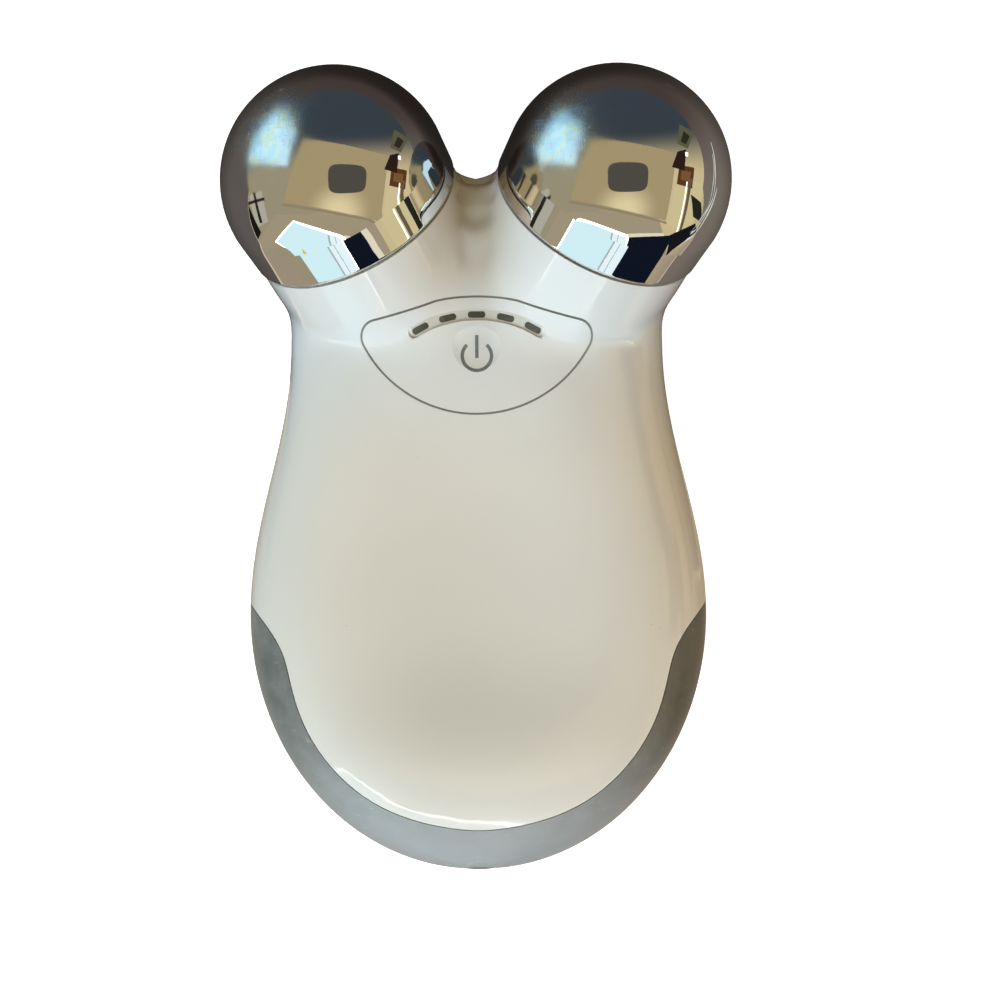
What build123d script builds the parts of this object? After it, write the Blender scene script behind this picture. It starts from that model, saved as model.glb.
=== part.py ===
"""Handheld facial toning device, in millimetres.

A palm-shaped body lies on its back with its controls facing +Z and two ball electrodes toward +Y.
The outer skin is one implicit form, a superellipse palm blended into two splayed necks. It is
sampled into closed rings along a bent path, lofted, halved at the middle and mirrored. The same
form at other insets gives the cavity, the band and the band's recess, so every wall follows it.
"""
from build123d import *
from functools import lru_cache
from math import acos, cos, degrees, pi, radians, sin, sqrt
import os

import numpy as np

os.makedirs("parts", exist_ok=True)

# ---- overall form ----
foot_y = -48.0              # flat facet at the tail, round the charging socket
tail_y = -48.3              # where the tail's curve would close without the facet
palm_y = -17.0              # widest station
palm_w = 55.6
waist_y = 16.0              # narrowest station
waist_w = 45.3
crown_y = 34.2              # end of the palm form, between the necks
rim_z = 13.0                # height of the widest contour
crown_z = 16.0
back_z = -0.5               # the back is planed off at z = 0
heel_z = 24.6               # front height near the tail
brow_z = 23.6               # front height at the controls
dish_depth = 3.0            # thumb dish in the front
dish_y = -12.0
dish_half = 30.0
dish_share = 0.82           # share of the half width that the dish takes

# ---- ball electrodes and necks ----
ball_r = 13.5
ball_x, ball_y, ball_z = 16.5, 34.5, 23.0
splay = radians(30.7)
lift = radians(36.5)
seam_back = 5.2             # seam plane behind the ball's centre
neck_r = 13.0
seam_gap = 0.2
ball_wall = 1.5
skirt_r = 13.25
axis_n = np.array([sin(splay) * cos(lift), cos(splay) * cos(lift), sin(lift)])
seam_c = np.array([ball_x, ball_y, ball_z]) - seam_back * axis_n

# ---- walls, band and fits ----
wall = 2.1
band_t = 0.85
band_bond = 0.1             # bond line under and round the band
part_gap = 0.12             # shadow line between the shells
fit = 0.1
slide_gap = 0.25            # round the control panel
thread_gap = 0.03

# ---- control panel ----
lens_half = 14.1            # corner before rounding
lens_corner_y = 17.35
lens_low_y = 7.2
lens_top_y = 20.65
lens_shoulder = (4.7, 20.05)
lens_brow = (9.3, 18.5)     # slightly hollow line from the shoulder to the corner
lens_round = 1.8
panel_z = 21.1              # underside of the panel
pocket_z = 20.2             # floor of its pocket
deck_z = 18.2               # underside of the deck that holds it
deck_rim = 1.8
panel_travel = 0.4
arc_y, arc_r = 4.7, 14.0    # centre and radius of the row of lights
light_angles = (-28.0, -14.0, 0.0, 14.0, 28.0)
slot_l, slot_w = 2.05, 0.75
groove_w, groove_half = 1.4, 31.6
groove_depth = 0.3
press_y = 14.1              # centre of the finger dimple, over the switch
dimple_r, dimple_depth = 2.6, 0.45
hook_x, hook_y, hook_w, hook_t = 11.0, 14.8, 2.8, 0.9

# ---- inside ----
board_w, board_y0, board_y1 = 27.0, -33.5, 24.0
board_z, board_t = 14.0, 1.2
board_screw_at = [(sx * 10.8, y) for sx in (-1, 1) for y in (-30.5, 20.5)]
housing_screw_at = [(sx * x, y) for sx in (-1, 1) for x, y in ((18.5, -22.0), (17.2, 12.0))]
screw_r, head_r = 1.0, 1.9
head_z0, head_z1, screw_z1 = 4.3, 5.7, 17.5
cell_w, cell_y0, cell_y1, cell_z0, cell_z1 = 25.0, -26.0, 16.0, 3.6, 8.8
jack_w, jack_h, jack_y0, jack_y1 = 7.2, 6.4, -45.4, -34.6
jack_barrel_r, jack_bore_r, jack_pin_r = 2.7, 1.75, 0.65
socket_gap = 0.15


# ================= implicit form =================
def unit(v):
    return np.clip(v, 0.0, 1.0)


def ease(v):
    v = unit(v)
    return v * v * (3 - 2 * v)


def half_width(y):
    tail = palm_w / 2 * np.sqrt(unit(1 - ((palm_y - y) / (palm_y - tail_y)) ** 2))
    flank = unit((y - palm_y) / (waist_y - palm_y))
    middle = waist_w / 2 + (palm_w - waist_w) / 2 * (0.5 + 0.5 * np.cos(pi * flank))
    crown = waist_w / 2 * np.sqrt(unit(1 - ((y - waist_y) / (crown_y - waist_y)) ** 2))
    return np.maximum(np.where(y < palm_y, tail, np.where(y < waist_y, middle, crown)), 0.05)


def back_height(y):
    u = unit((-20 - y) / (-20 - tail_y))
    tail = rim_z - (rim_z - back_z) * unit(1 - u ** 2.2) ** (1 / 2.2)
    u = unit((y - 8) / (crown_y - 8))
    crown = crown_z - (crown_z - back_z) * unit(1 - u ** 2.2) ** (1 / 2.2)
    return np.where(y < -20, tail, np.where(y < 8, back_z, crown))


def front_height(y):
    u = unit((-28 - y) / (-28 - tail_y))
    tail = rim_z + (heel_z - rim_z) * np.sqrt(unit(1 - u * u))
    middle = brow_z + (heel_z - brow_z) * (0.5 + 0.5 * np.cos(pi * unit((y + 28) / 38)))
    u = unit((y - 10) / (crown_y - 10))
    crown = crown_z + (brow_z - crown_z) * np.sqrt(unit(1 - u ** 2.4))
    return np.where(y < -28, tail, np.where(y < 10, middle, crown))


def palm(x, y, z):
    """Superellipse section at each y, less the thumb dish; zero on the skin."""
    level = rim_z + (crown_z - rim_z) * ease((y - 12) / (crown_y - 12))
    rise = np.maximum(front_height(y) - level, 0.05)
    fall = np.maximum(level - back_height(y), 0.05)
    u = np.abs(x) / half_width(y)
    along = unit(1 - ((y - dish_y) / dish_half) ** 2) ** 2
    across = unit(1 - (u / dish_share) ** 2) ** 2
    dish = dish_depth * along * across * unit((z - level) / rise)
    v = np.where(z >= level, (z - level + dish) / rise, (level - z) / fall)
    power = np.where(z >= level, 2.6, 2.4)
    return (u ** 2.3 + np.abs(v) ** power) ** (1 / 2.35) - 1


def to_distance(f, x, y, z, e=0.02):
    """Divide a field by its slope, so that it reads in millimetres near the skin."""
    gx = (f(x + e, y, z) - f(x - e, y, z)) / (2 * e)
    gy = (f(x, y + e, z) - f(x, y - e, z)) / (2 * e)
    gz = (f(x, y, z + e) - f(x, y, z - e)) / (2 * e)
    return f(x, y, z) / np.maximum(np.sqrt(gx * gx + gy * gy + gz * gz), 0.02)


def along_neck(x, y, z):
    return (x - seam_c[0]) * axis_n[0] + (y - seam_c[1]) * axis_n[1] + (z - seam_c[2]) * axis_n[2]


def neck(x, y, z):
    h = along_neck(x, y, z)
    q = (x - seam_c[0]) ** 2 + (y - seam_c[1]) ** 2 + (z - seam_c[2]) ** 2
    r = np.sqrt(np.maximum(q - h * h, 0))
    dip = np.maximum(-h - 5, 0)
    return np.maximum(r - (neck_r - 0.02 * dip ** 2), -(h + 20))


def blend(a, b, k):
    g = np.maximum(k - np.abs(a - b), 0) / k
    return np.minimum(a, b) - g * g * k / 4


def skin(x, y, z):
    """The palm blended with both necks: wide in the valley, tight at the flanks and the seam."""
    body = np.maximum(to_distance(palm, x, y, z), y - crown_y)
    fade = ease(-along_neck(x, y, z) / 4)
    k = (1.0 + 4.0 * (0.5 + 0.5 * np.cos(pi * unit(x / 16)))) * (0.02 + 0.98 * fade)
    return blend(body, blend(neck(x, y, z), neck(-x, y, z), 0.05 + 3.0 * fade), k)


def inner_width(y, reach=6.5, soft=3.0):
    w = half_width(y)
    return blend(w, np.full_like(w, reach), soft)


def right_half(x, y, z, overlap=1.2):
    """The skin for x > 0, mirrored a little past the middle plane and then closed off smoothly."""
    near = np.minimum(np.abs(x), overlap)
    past = np.maximum(-x - overlap, 0.0)
    squeezed = skin(near + past * half_width(y) / inner_width(y), y, z)
    pinched = np.maximum(skin(near, y, z), -9) + 0.12 * past ** 2
    w = ease((y + 4) / 14)
    return np.where(x < 0, (1 - w) * squeezed + w * pinched, skin(np.abs(x), y, z))


# ================= rings and lofts =================
def centre_x(y):
    y = np.asarray(y, dtype=float)
    return (half_width(y) - inner_width(y)) / 2


def stations(inset, count=22, bend_y=-14.0, bend_z=11.0, pull=44.0):
    """Ring centres and normals along a path that bends from the palm into the right neck."""
    start = foot_y + inset
    y = np.linspace(start, bend_y, 201)[:-1]
    g = (y - start) / (bend_y - start)
    low = np.stack([centre_x(y - inset * (1 - g)), y, rim_z - (rim_z - bend_z) * ease(g)], axis=1)
    t = np.linspace(0, 1, 401)[:, None]
    p0 = np.array([float(centre_x(bend_y)), bend_y, bend_z])
    high = ((2 * t ** 3 - 3 * t ** 2 + 1) * p0
            + (t ** 3 - 2 * t ** 2 + t) * np.array([0, pull, 0])
            + (3 * t ** 2 - 2 * t ** 3) * seam_c
            + (t ** 3 - t ** 2) * axis_n * 0.8 * pull)
    path = np.concatenate([low, high])
    length = np.concatenate([[0], np.cumsum(np.linalg.norm(np.diff(path, axis=0), axis=1))])
    bend, total, turn = length[200], length[-1], acos(axis_n[1])
    side = axis_n * [1, 0, 1]
    side = side / np.linalg.norm(side)
    rows = []
    for i in range(count + 1):
        s = total * (1 - cos(pi * i / count)) / 2
        o = np.array([np.interp(s, length, path[:, j]) for j in range(3)])
        a = turn * float(ease((s - bend) / (total - bend)))
        rows.append((o, np.array([0, 1.0, 0]) * cos(a) + side * sin(a)))
    rows[-1] = (seam_c.copy(), axis_n.copy())
    return rows


def ring(origin, normal, inset, rays=40, crowd=0.35):
    """Points of the inset skin in the plane, found along rays that crowd towards the middle plane."""
    e1 = np.array([1.0, 0, 0]) - normal[0] * normal
    e1 = e1 / np.linalg.norm(e1)
    e2 = np.cross(e1, normal)
    a = np.arange(rays) * 2 * pi / rays
    a = a + crowd * np.sin(a)
    way = np.outer(np.cos(a), e1) + np.outer(np.sin(a), e2)
    low = np.zeros(rays)
    high = np.full(rays, -1.0)
    for t in np.arange(0.5, 50, 0.5):
        p = origin + way * t
        out = right_half(*p.T) + inset > 0
        high[out & (high < 0)] = t
        low[high < 0] = t
    for _ in range(22):
        mid = (low + high) / 2
        out = right_half(*(origin + way * mid[:, None]).T) + inset > 0
        high = np.where(out, mid, high)
        low = np.where(out, low, mid)
    return origin + way * ((low + high) / 2)[:, None]


@lru_cache(maxsize=None)
def form(inset):
    wires = []
    for origin, normal in stations(inset):
        points = [Vector(*p) for p in ring(origin, normal, inset)]
        steps = [i / len(points) for i in range(len(points) + 1)]
        wires.append(Wire([Edge.make_spline(points, periodic=True, parameters=steps)]))
    half = Solid.make_loft(wires) - Solid.make_box(40, 110, 60, Plane((-40, -55, -10)))
    return half.fuse(half.mirror(Plane.YZ))


# ================= helpers =================
def keep(name, *solids):
    shape = solids[0] if len(solids) == 1 else Compound(children=[s for s in solids])
    shape.label = name
    export_step(shape, f"parts/{name}.step")


def one(shape):
    """The largest solid of a result."""
    return max(shape.solids(), key=lambda s: s.volume)


def block(x0, x1, y0, y1, z0, z1):
    return Solid.make_box(x1 - x0, y1 - y0, z1 - z0, Plane((x0, y0, z0)))


def post(x, y, z0, z1, r):
    return Solid.make_cylinder(r, z1 - z0, Plane((x, y, z0)))


def prism(face, z0, z1):
    return Solid.extrude(face.moved(Location((0, 0, z0))), Vector(0, 0, z1 - z0))


def turned(*outline):
    """Revolve a closed (radius, height) outline about Z."""
    wire = Wire.make_polygon([Vector(r, 0, h) for r, h in outline], close=True)
    return Solid.revolve(Face(wire), 360, Axis.Z)


def wire_lead(r, points, start, end):
    """Insulated wire through points, leaving and arriving in the given directions."""
    path = Edge.make_spline([Vector(*p) for p in points], tangents=[Vector(*start), Vector(*end)])
    return Solid.sweep(Face(Wire([Edge.make_circle(r, Plane(path @ 0, z_dir=path % 0))])), path)


inward = -(np.array([1.0, 0, 0]) - axis_n[0] * axis_n)
neck_plane = Plane(origin=Vector(*seam_c), x_dir=Vector(*inward), z_dir=Vector(*axis_n))


def at_neck(solid):
    """Place a solid made about Z, with the seam at height 0, on the right neck."""
    return solid.moved(neck_plane.location)


def pair(name, solid):
    keep(f"right_{name}", solid)
    keep(f"left_{name}", solid.mirror(Plane.YZ))


# ================= outlines =================
def circle_through(a, b, c):
    """Centre and radius of the circle through three points of the XY plane."""
    rows = np.array([[b[0] - a[0], b[1] - a[1]], [c[0] - a[0], c[1] - a[1]]])
    sums = np.array([b[0] ** 2 + b[1] ** 2 - a[0] ** 2 - a[1] ** 2,
                     c[0] ** 2 + c[1] ** 2 - a[0] ** 2 - a[1] ** 2]) / 2
    centre = np.linalg.solve(rows, sums)
    return centre, float(np.linalg.norm(centre - np.array(a)))


def meet(c0, r0, c1, r1, near):
    """The crossing of two circles that lies nearest a point."""
    d = np.linalg.norm(c1 - c0)
    along = (r0 ** 2 - r1 ** 2 + d ** 2) / (2 * d)
    across = sqrt(r0 ** 2 - along ** 2)
    u = (c1 - c0) / d
    ends = [c0 + along * u + sgn * across * np.array([-u[1], u[0]]) for sgn in (-1, 1)]
    return min(ends, key=lambda p: np.linalg.norm(p - np.array(near)))


def lens(grow=0.0):
    """Outline of the control panel, with hollow shoulders and a round lower edge."""
    corner = (lens_half, lens_corner_y)
    low_c, low_r = circle_through((-lens_half, lens_corner_y), (0, lens_low_y), corner)
    brow_c, brow_r = circle_through(corner, lens_brow, lens_shoulder)
    top_c, top_r = circle_through(lens_shoulder, (0, lens_top_y), (-lens_shoulder[0], lens_shoulder[1]))
    cx, cy = meet(low_c, low_r + grow, brow_c, brow_r - grow, corner)
    sx, sy = meet(brow_c, brow_r - grow, top_c, top_r + grow, lens_shoulder)
    to_brow = (np.array(lens_brow) - brow_c) / brow_r
    bx, by = brow_c + to_brow * (brow_r - grow)
    face = Face(Wire([
        Edge.make_three_point_arc(Vector(-cx, cy), Vector(0, lens_low_y - grow), Vector(cx, cy)),
        Edge.make_three_point_arc(Vector(cx, cy), Vector(bx, by), Vector(sx, sy)),
        Edge.make_three_point_arc(Vector(sx, sy), Vector(0, lens_top_y + grow), Vector(-sx, sy)),
        Edge.make_three_point_arc(Vector(-sx, sy), Vector(-bx, by), Vector(-cx, cy))]))
    corners = [v for v in face.vertices() if abs(abs(v.X) - cx) < 0.01]
    return face.fillet_2d(max(lens_round + grow, 0.3), corners)


def slot(angle, grow=0.0):
    """Window outline on the arc of lights."""
    a = radians(angle)
    face = Face(Wire.make_rect(slot_l + 2 * grow, slot_w + 2 * grow))
    face = face.fillet_2d((slot_w + 2 * grow) * 0.45, face.vertices())
    return face.moved(Location((arc_r * sin(a), arc_y + arc_r * cos(a), 0), (0, 0, -angle)))


def hook_slot(sx, clear=0.3):
    """Opening in the deck that a snap hook of the panel passes and catches under."""
    x0, x1 = sorted((sx * (hook_x - clear), sx * (hook_x + hook_t + 0.6 + clear)))
    reach = hook_w / 2 + clear
    return block(x0, x1, hook_y - reach, hook_y + reach, deck_z - 1, pocket_z + 1)


def arc_band(r0, r1, half_angle):
    """Flat sector of a ring about the lights' centre, with round ends beyond the half angle."""
    def at(r, deg):
        a = radians(deg)
        return Vector(r * sin(a), arc_y + r * cos(a))
    h = half_angle
    tip_r, tip = (r0 + r1) / 2, h + degrees((r1 - r0) / (r0 + r1))
    return Face(Wire([
        Edge.make_three_point_arc(at(r0, -h), at(r0, 0), at(r0, h)),
        Edge.make_three_point_arc(at(r0, h), at(tip_r, tip), at(r1, h)),
        Edge.make_three_point_arc(at(r1, h), at(r1, 0), at(r1, -h)),
        Edge.make_three_point_arc(at(r1, -h), at(tip_r, -tip), at(r0, -h))]))


band_edge = [(0, -42.2), (4.4, -41.75), (9.3, -40.4), (13.7, -38.1), (17.1, -35.1), (19.7, -31.6),
             (21.5, -27.7), (22.4, -24.4), (23.3, -21.2), (25.0, -18.4), (27.1, -16.1), (29.6, -13.8)]


def band_zone(clear=0.0):
    """Everything on the tail side of the band's inner edge, seen from the front."""
    half = np.array(band_edge, dtype=float)
    line = np.concatenate([half[:0:-1] * [-1, 1], half])
    way = np.gradient(line, axis=0)
    way = way / np.linalg.norm(way, axis=1)[:, None]
    line = line + clear * np.stack([way[:, 1], -way[:, 0]], axis=1)
    a, b = line[0], line[-1]
    return Face(Wire([
        Edge.make_spline([Vector(*p) for p in line]),
        Edge.make_line(Vector(*b), Vector(34, -14)), Edge.make_line(Vector(34, -14), Vector(34, -55)),
        Edge.make_line(Vector(34, -55), Vector(-34, -55)),
        Edge.make_line(Vector(-34, -55), Vector(-34, -14)),
        Edge.make_line(Vector(-34, -14), Vector(*a))]))


def half_space(above, shift=0.0, bend_r=15.0, corner_y=30.0, slope=0.45, far_y=60.0):
    """One side of the parting sheet: level round the palm, then rising under the necks."""
    corner = Vector(0, corner_y, rim_z)
    far = Vector(0, far_y, rim_z + slope * (far_y - corner_y))
    top = 90 if above else -30
    face = Face(Wire.make_polygon([Vector(0, -60, rim_z), corner, far, Vector(0, far_y, top),
                                   Vector(0, -60, top)], close=True))
    bend = [v for v in face.vertices() if (Vector(v) - corner).length < 0.01]
    face = face.fillet_2d(bend_r, bend).moved(Location((-40, 0, shift)))
    return Solid.extrude(face, Vector(80, 0, 0))


# ================= shells and band =================
outer = one(form(0.0) & block(-40, 40, -60, 60, 0, 60))
cavity = form(wall)
boss_limit = form(band_t + band_bond)
hollow = one(outer - cavity)
recess = (outer - boss_limit) & prism(band_zone(), -5, 40)
hollow = one(hollow - recess)

seat_r, seat_t = 11.9, 2.0
rebate = at_neck(turned((8, -seat_t - 0.05), (seat_r + fit, -seat_t - 0.05), (seat_r + fit, 2), (8, 2)))
hollow = hollow - rebate - rebate.mirror(Plane.YZ)
socket = Solid.make_cylinder(jack_barrel_r + socket_gap, 6, Plane((0, foot_y - 2, rim_z), z_dir=(0, 1, 0)))
hollow = one(hollow - socket)

rear = one(hollow & half_space(False, -part_gap))
front = one(hollow & half_space(True))

for x, y in housing_screw_at:
    rear = rear + (post(x, y, 0, rim_z - part_gap, 2.7) & boss_limit)
    front = front + (post(x, y, rim_z, 40, 2.4) & boss_limit)
for x, y in board_screw_at:
    rear = rear + (post(x, y, 0, board_z - board_t, 2.3) & boss_limit)
cradle = block(-3.0, 3.0, jack_y0 + 1.2, jack_y1 - 1.0, 0, rim_z - jack_h / 2 - 0.02)
rear = rear + (cradle & boss_limit)
for sx in (-1, 1):
    rib_x = sx * (cell_w / 2 + 0.9)
    rib = block(rib_x - 0.6, rib_x + 0.6, cell_y0 + 4, cell_y1 - 4, 0, cell_z1 - 1)
    rear = rear + (rib & boss_limit)
for x, y in housing_screw_at:
    rear = rear - post(x, y, -1, head_z1, head_r + 0.15) - post(x, y, 0, 20, screw_r + fit)
    front = front - post(x, y, 0, screw_z1 + 0.6, screw_r + thread_gap)
for x, y in board_screw_at:
    rear = rear - post(x, y, 8.5, 20, 0.9 + thread_gap)

deck = prism(lens(deck_rim), deck_z, 40) & boss_limit
front = front + deck
front = front - prism(lens(slide_gap), pocket_z, 40)
for angle in light_angles:
    front = front - prism(slot(angle, 0.25), deck_z - 1, pocket_z + 1)
front = front - post(0, press_y, deck_z - 1, pocket_z + 1, 1.6 + fit)
for sx in (-1, 1):
    front = front - hook_slot(sx)
front, rear = one(front), one(rear)
keep("front_shell", front)
keep("rear_shell", rear)

band = one((outer - form(band_t)) & prism(band_zone(band_bond), -5, 40))
keep("grip_band", one(band - socket))

# ================= control panel =================
blank = one(outer & prism(lens(), panel_z, 40))
sunk = blank.moved(Location((0, 0, -groove_depth)))
groove_zone = prism(arc_band(arc_r - groove_w / 2, arc_r + groove_w / 2, groove_half), panel_z, 40)
panel = one(blank - (groove_zone - sunk))
face_z = max(v.Z for v in (blank & post(0, press_y, panel_z, 40, 0.05)).vertices())
dimple_ball = (dimple_r ** 2 + dimple_depth ** 2) / (2 * dimple_depth)
panel = panel - Solid.make_sphere(dimple_ball, Plane((0, press_y, face_z - dimple_depth + dimple_ball)))
guide_t = 0.5
panel = panel - prism(arc_band(arc_r - 1.1, arc_r + 1.1, 32.4), panel_z - 1, panel_z + guide_t + 0.05)
for angle in light_angles:
    panel = panel - prism(slot(angle), panel_z - 1, 40)
for sx in (-1, 1):
    x0, x1 = sorted((sx * hook_x, sx * (hook_x + hook_t)))
    c0, c1 = sorted((sx * hook_x, sx * (hook_x + hook_t + 0.55)))
    y0, y1 = hook_y - hook_w / 2, hook_y + hook_w / 2
    panel = panel + block(x0, x1, y0, y1, deck_z - 0.6, panel_z + 0.2)
    panel = panel + block(c0, c1, y0, y1, deck_z - 0.6, deck_z - 0.04)
keep("control_panel", one(panel))

guide = prism(arc_band(arc_r - 1.0, arc_r + 1.0, 32.4), panel_z, panel_z + guide_t)
for angle in light_angles:
    guide = guide + (prism(slot(angle, -0.04), panel_z + 0.1, 40) & sunk)
keep("light_guide", one(guide))

gasket = prism(lens(-0.4), pocket_z + 0.02, pocket_z + 0.35) - prism(lens(-1.9), pocket_z - 1, pocket_z + 1)
for sx in (-1, 1):
    gasket = gasket - hook_slot(sx)
keep("panel_gasket", *[strip for strip in gasket.solids() if strip.volume > 1])

shade = prism(arc_band(arc_r - 1.2, arc_r + 1.4, 33.4), board_z + 0.05, deck_z - 0.05)
for angle in light_angles:
    shade = shade - prism(slot(angle, 0.4), board_z - 1, deck_z + 1)
keep("light_shade", one(shade))

# ================= switch and board =================
switch_h = 3.4
switch = block(-2.9, 2.9, press_y - 2.9, press_y + 2.9, board_z + 0.02, board_z + switch_h)
switch = switch.chamfer(0.25, None, switch.edges().filter_by(Axis.Z))
switch = switch - post(0, press_y, board_z + switch_h - 1.0, board_z + 10, 1.6 + fit)
keep("tact_switch", one(switch))
plunger = post(0, press_y, board_z + switch_h - 0.45, panel_z - 0.15, 1.6)
plunger = plunger.chamfer(0.3, None, plunger.edges().sort_by(Axis.Z)[-1:])
keep("switch_plunger", plunger)

board = block(-board_w / 2, board_w / 2, board_y0, board_y1, board_z - board_t, board_z)
board = board.fillet(2.0, board.edges().filter_by(Axis.Z))
for x, y in board_screw_at:
    board = board - post(x, y, 0, 30, 0.9 + fit)
keep("circuit_board", one(board))

chip_z = board_z + 0.02
keep("microcontroller", block(-3.5, 3.5, -9.5, -2.5, chip_z, chip_z + 0.9))
coil = post(-7.5, -18, chip_z, chip_z + 4.0, 4.0) - post(-7.5, -18, chip_z + 0.8, chip_z + 3.2, 9)
keep("step_up_coil", one(coil + post(-7.5, -18, chip_z, chip_z + 4.0, 2.9)))
cans = [post(6.5, y, chip_z, chip_z + 3.8, 1.6) for y in (-14.0, -18.5, -23.0)]
keep("capacitors", *[c.fillet(0.3, c.edges().sort_by(Axis.Z)[-1:]) for c in cans])
lights = [prism(slot(a, -0.15), chip_z, chip_z + 0.6) for a in light_angles]
keep("status_leds", *lights)
sounder = post(0, -26.8, chip_z, chip_z + 2.6, 4.2) - post(0, -26.8, chip_z + 1.8, 40, 0.8)
keep("buzzer", one(sounder))
board_screws = []
for x, y in board_screw_at:
    head = post(x, y, board_z + 0.02, board_z + 1.1, head_r)
    cross = block(x - 1.1, x + 1.1, y - 0.22, y + 0.22, board_z + 0.6, board_z + 2)
    cross = cross + block(x - 0.22, x + 0.22, y - 1.1, y + 1.1, board_z + 0.6, board_z + 2)
    board_screws.append(one(head + post(x, y, 9.0, board_z + 0.1, 0.9) - cross))
keep("board_screws", *board_screws)

# ================= power =================
cell = block(-cell_w / 2, cell_w / 2, cell_y0, cell_y1, cell_z0, cell_z1)
keep("battery_cell", cell.fillet(1.6, cell.edges().filter_by(Axis.Y)))
pad = block(-9, 9, cell_y0 + 3, cell_y1 - 3, 0, cell_z0 - 0.10) & cavity
keep("battery_pad", one(pad).moved(Location((0, 0, 0.07))))
plug_y = cell_y0 - 3.5
plug_z = board_z - board_t - 0.02
keep("battery_plug", block(-2.6, 2.6, plug_y - 2, plug_y + 2, plug_z - 3.2, plug_z))
keep("battery_leads", *[
    wire_lead(0.45, [(x, cell_y0 - 0.03, 6.6), (x, plug_y, plug_z - 3.23)], (0, -1, 0), (0, 0, 1))
    for x in (-1.1, 1.1)])

jack = block(-jack_w / 2, jack_w / 2, jack_y0, jack_y1, rim_z - jack_h / 2, rim_z + jack_h / 2)
jack = jack.chamfer(0.5, None, jack.edges().filter_by(Axis.Y))
tail_plane = Plane((0, foot_y + 0.05, rim_z), z_dir=(0, 1, 0))
jack = jack + Solid.make_cylinder(jack_barrel_r, jack_y0 - foot_y + 0.5, tail_plane)
jack = jack - Solid.make_cylinder(jack_bore_r, 9.6, tail_plane)
jack = one(jack - Solid.make_cylinder(jack_pin_r, 12, tail_plane))
keep("charge_jack", jack)
pin = Solid.make_cylinder(jack_pin_r - 0.01, 10.6, Plane((0, foot_y + 1.1, rim_z), z_dir=(0, 1, 0)))
keep("jack_pin", pin.fillet(0.3, pin.edges().sort_by(Axis.Y)[:1]))
keep("jack_leads", *[
    wire_lead(0.45, [(x, jack_y1 + 0.03, 15.5), (x, board_y0 + 1.0, board_z + 0.03)], (0, 1, 0), (0, 0, -1))
    for x in (-2.0, 2.0)])

screws = []
for x, y in housing_screw_at:
    head = post(x, y, head_z0, head_z1 - 0.02, head_r)
    cross = block(x - 1.2, x + 1.2, y - 0.25, y + 0.25, head_z0 - 1, head_z0 + 0.7)
    cross = cross + block(x - 0.25, x + 0.25, y - 1.2, y + 1.2, head_z0 - 1, head_z0 + 0.7)
    screws.append(one(head + post(x, y, head_z1 - 0.1, screw_z1, screw_r) - cross))
keep("housing_screws", *screws)

# ================= ball electrodes =================
top_t = seam_back + ball_r


def ball_profile(r, skirt, base, foot_round):
    """Half section: dome, slightly drawn-in skirt and a rounded foot."""
    knee = Vector(skirt, 0, base + foot_round)
    foot = Vector(skirt - foot_round, 0, base)
    bend = Vector(skirt - foot_round * (1 - sqrt(0.5)), 0, base + foot_round * (1 - sqrt(0.5)))
    dome = Edge.make_three_point_arc(Vector(0, 0, seam_back + r),
                                     Vector(r * sqrt(0.5), 0, seam_back + r * sqrt(0.5)),
                                     Vector(r, 0, seam_back))
    return Solid.revolve(Face(Wire([
        dome, Edge.make_line(Vector(r, 0, seam_back), knee),
        Edge.make_three_point_arc(knee, bend, foot),
        Edge.make_line(foot, Vector(0, 0, base)),
        Edge.make_line(Vector(0, 0, base), Vector(0, 0, seam_back + r))])), 360, Axis.Z)


boss_r = 2.6
ball = ball_profile(ball_r, skirt_r, seam_gap, 0.6)
ball = ball - ball_profile(ball_r - ball_wall, 11.95, seam_gap - 1, 0.1)
ball = ball + turned((0, seam_gap), (boss_r, seam_gap), (boss_r + 1.2, top_t - 2.5), (0, top_t - 0.8))
ball = one(ball - turned((0, -1), (screw_r + thread_gap, -1), (screw_r + thread_gap, 8.2), (0, 8.8)))
pair("ball", at_neck(ball))

seat = turned((screw_r + fit, -seat_t), (seat_r, -seat_t), (seat_r, 0), (4.0, 0),
              (3.6, seam_gap - 0.03), (screw_r + fit, seam_gap - 0.03))
pair("ball_seat", at_neck(seat))
pair("ball_seal", at_neck(turned((11.0, 0.03), (11.75, 0.03), (11.85, 0.25), (11.85, 0.8), (11.6, 1.0),
                                 (11.2, 1.0), (11.0, 0.8))))
tag_t = 0.4
tag = turned((screw_r + fit, -seat_t - 0.02 - tag_t), (2.5, -seat_t - 0.02 - tag_t),
             (2.5, -seat_t - 0.02), (screw_r + fit, -seat_t - 0.02))
tag = tag + block(2.2, 4.6, -0.8, 0.8, -seat_t - 0.02 - tag_t, -seat_t - 0.02)
pair("ball_tag", at_neck(one(tag)))
head_t = -seat_t - 0.04 - tag_t
screw = turned((0, head_t - 1.3), (head_r, head_t - 1.3), (head_r, head_t), (screw_r, head_t),
               (screw_r, 7.6), (0, 8.0))
screw = screw - block(-1.2, 1.2, -0.25, 0.25, head_t - 2, head_t - 0.6)
screw = one(screw - block(-0.25, 0.25, -1.2, 1.2, head_t - 2, head_t - 0.6))
pair("ball_screw", at_neck(screw))
tab = neck_plane.from_local_coords(Vector(4.0, 0, -seat_t - 0.04 - tag_t))
pair("ball_lead", wire_lead(0.42, [tuple(tab), (5.6, 22.0, board_z + 0.03)], tuple(-axis_n), (0, 0, -1)))
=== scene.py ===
"""Looks of the handheld facial toning device: finishes, the printed power symbol, studio and camera."""
from math import atan2, cos, pi, radians, sin

import bmesh
import bpy
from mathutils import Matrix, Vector
from mathutils.bvhtree import BVHTree


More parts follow.
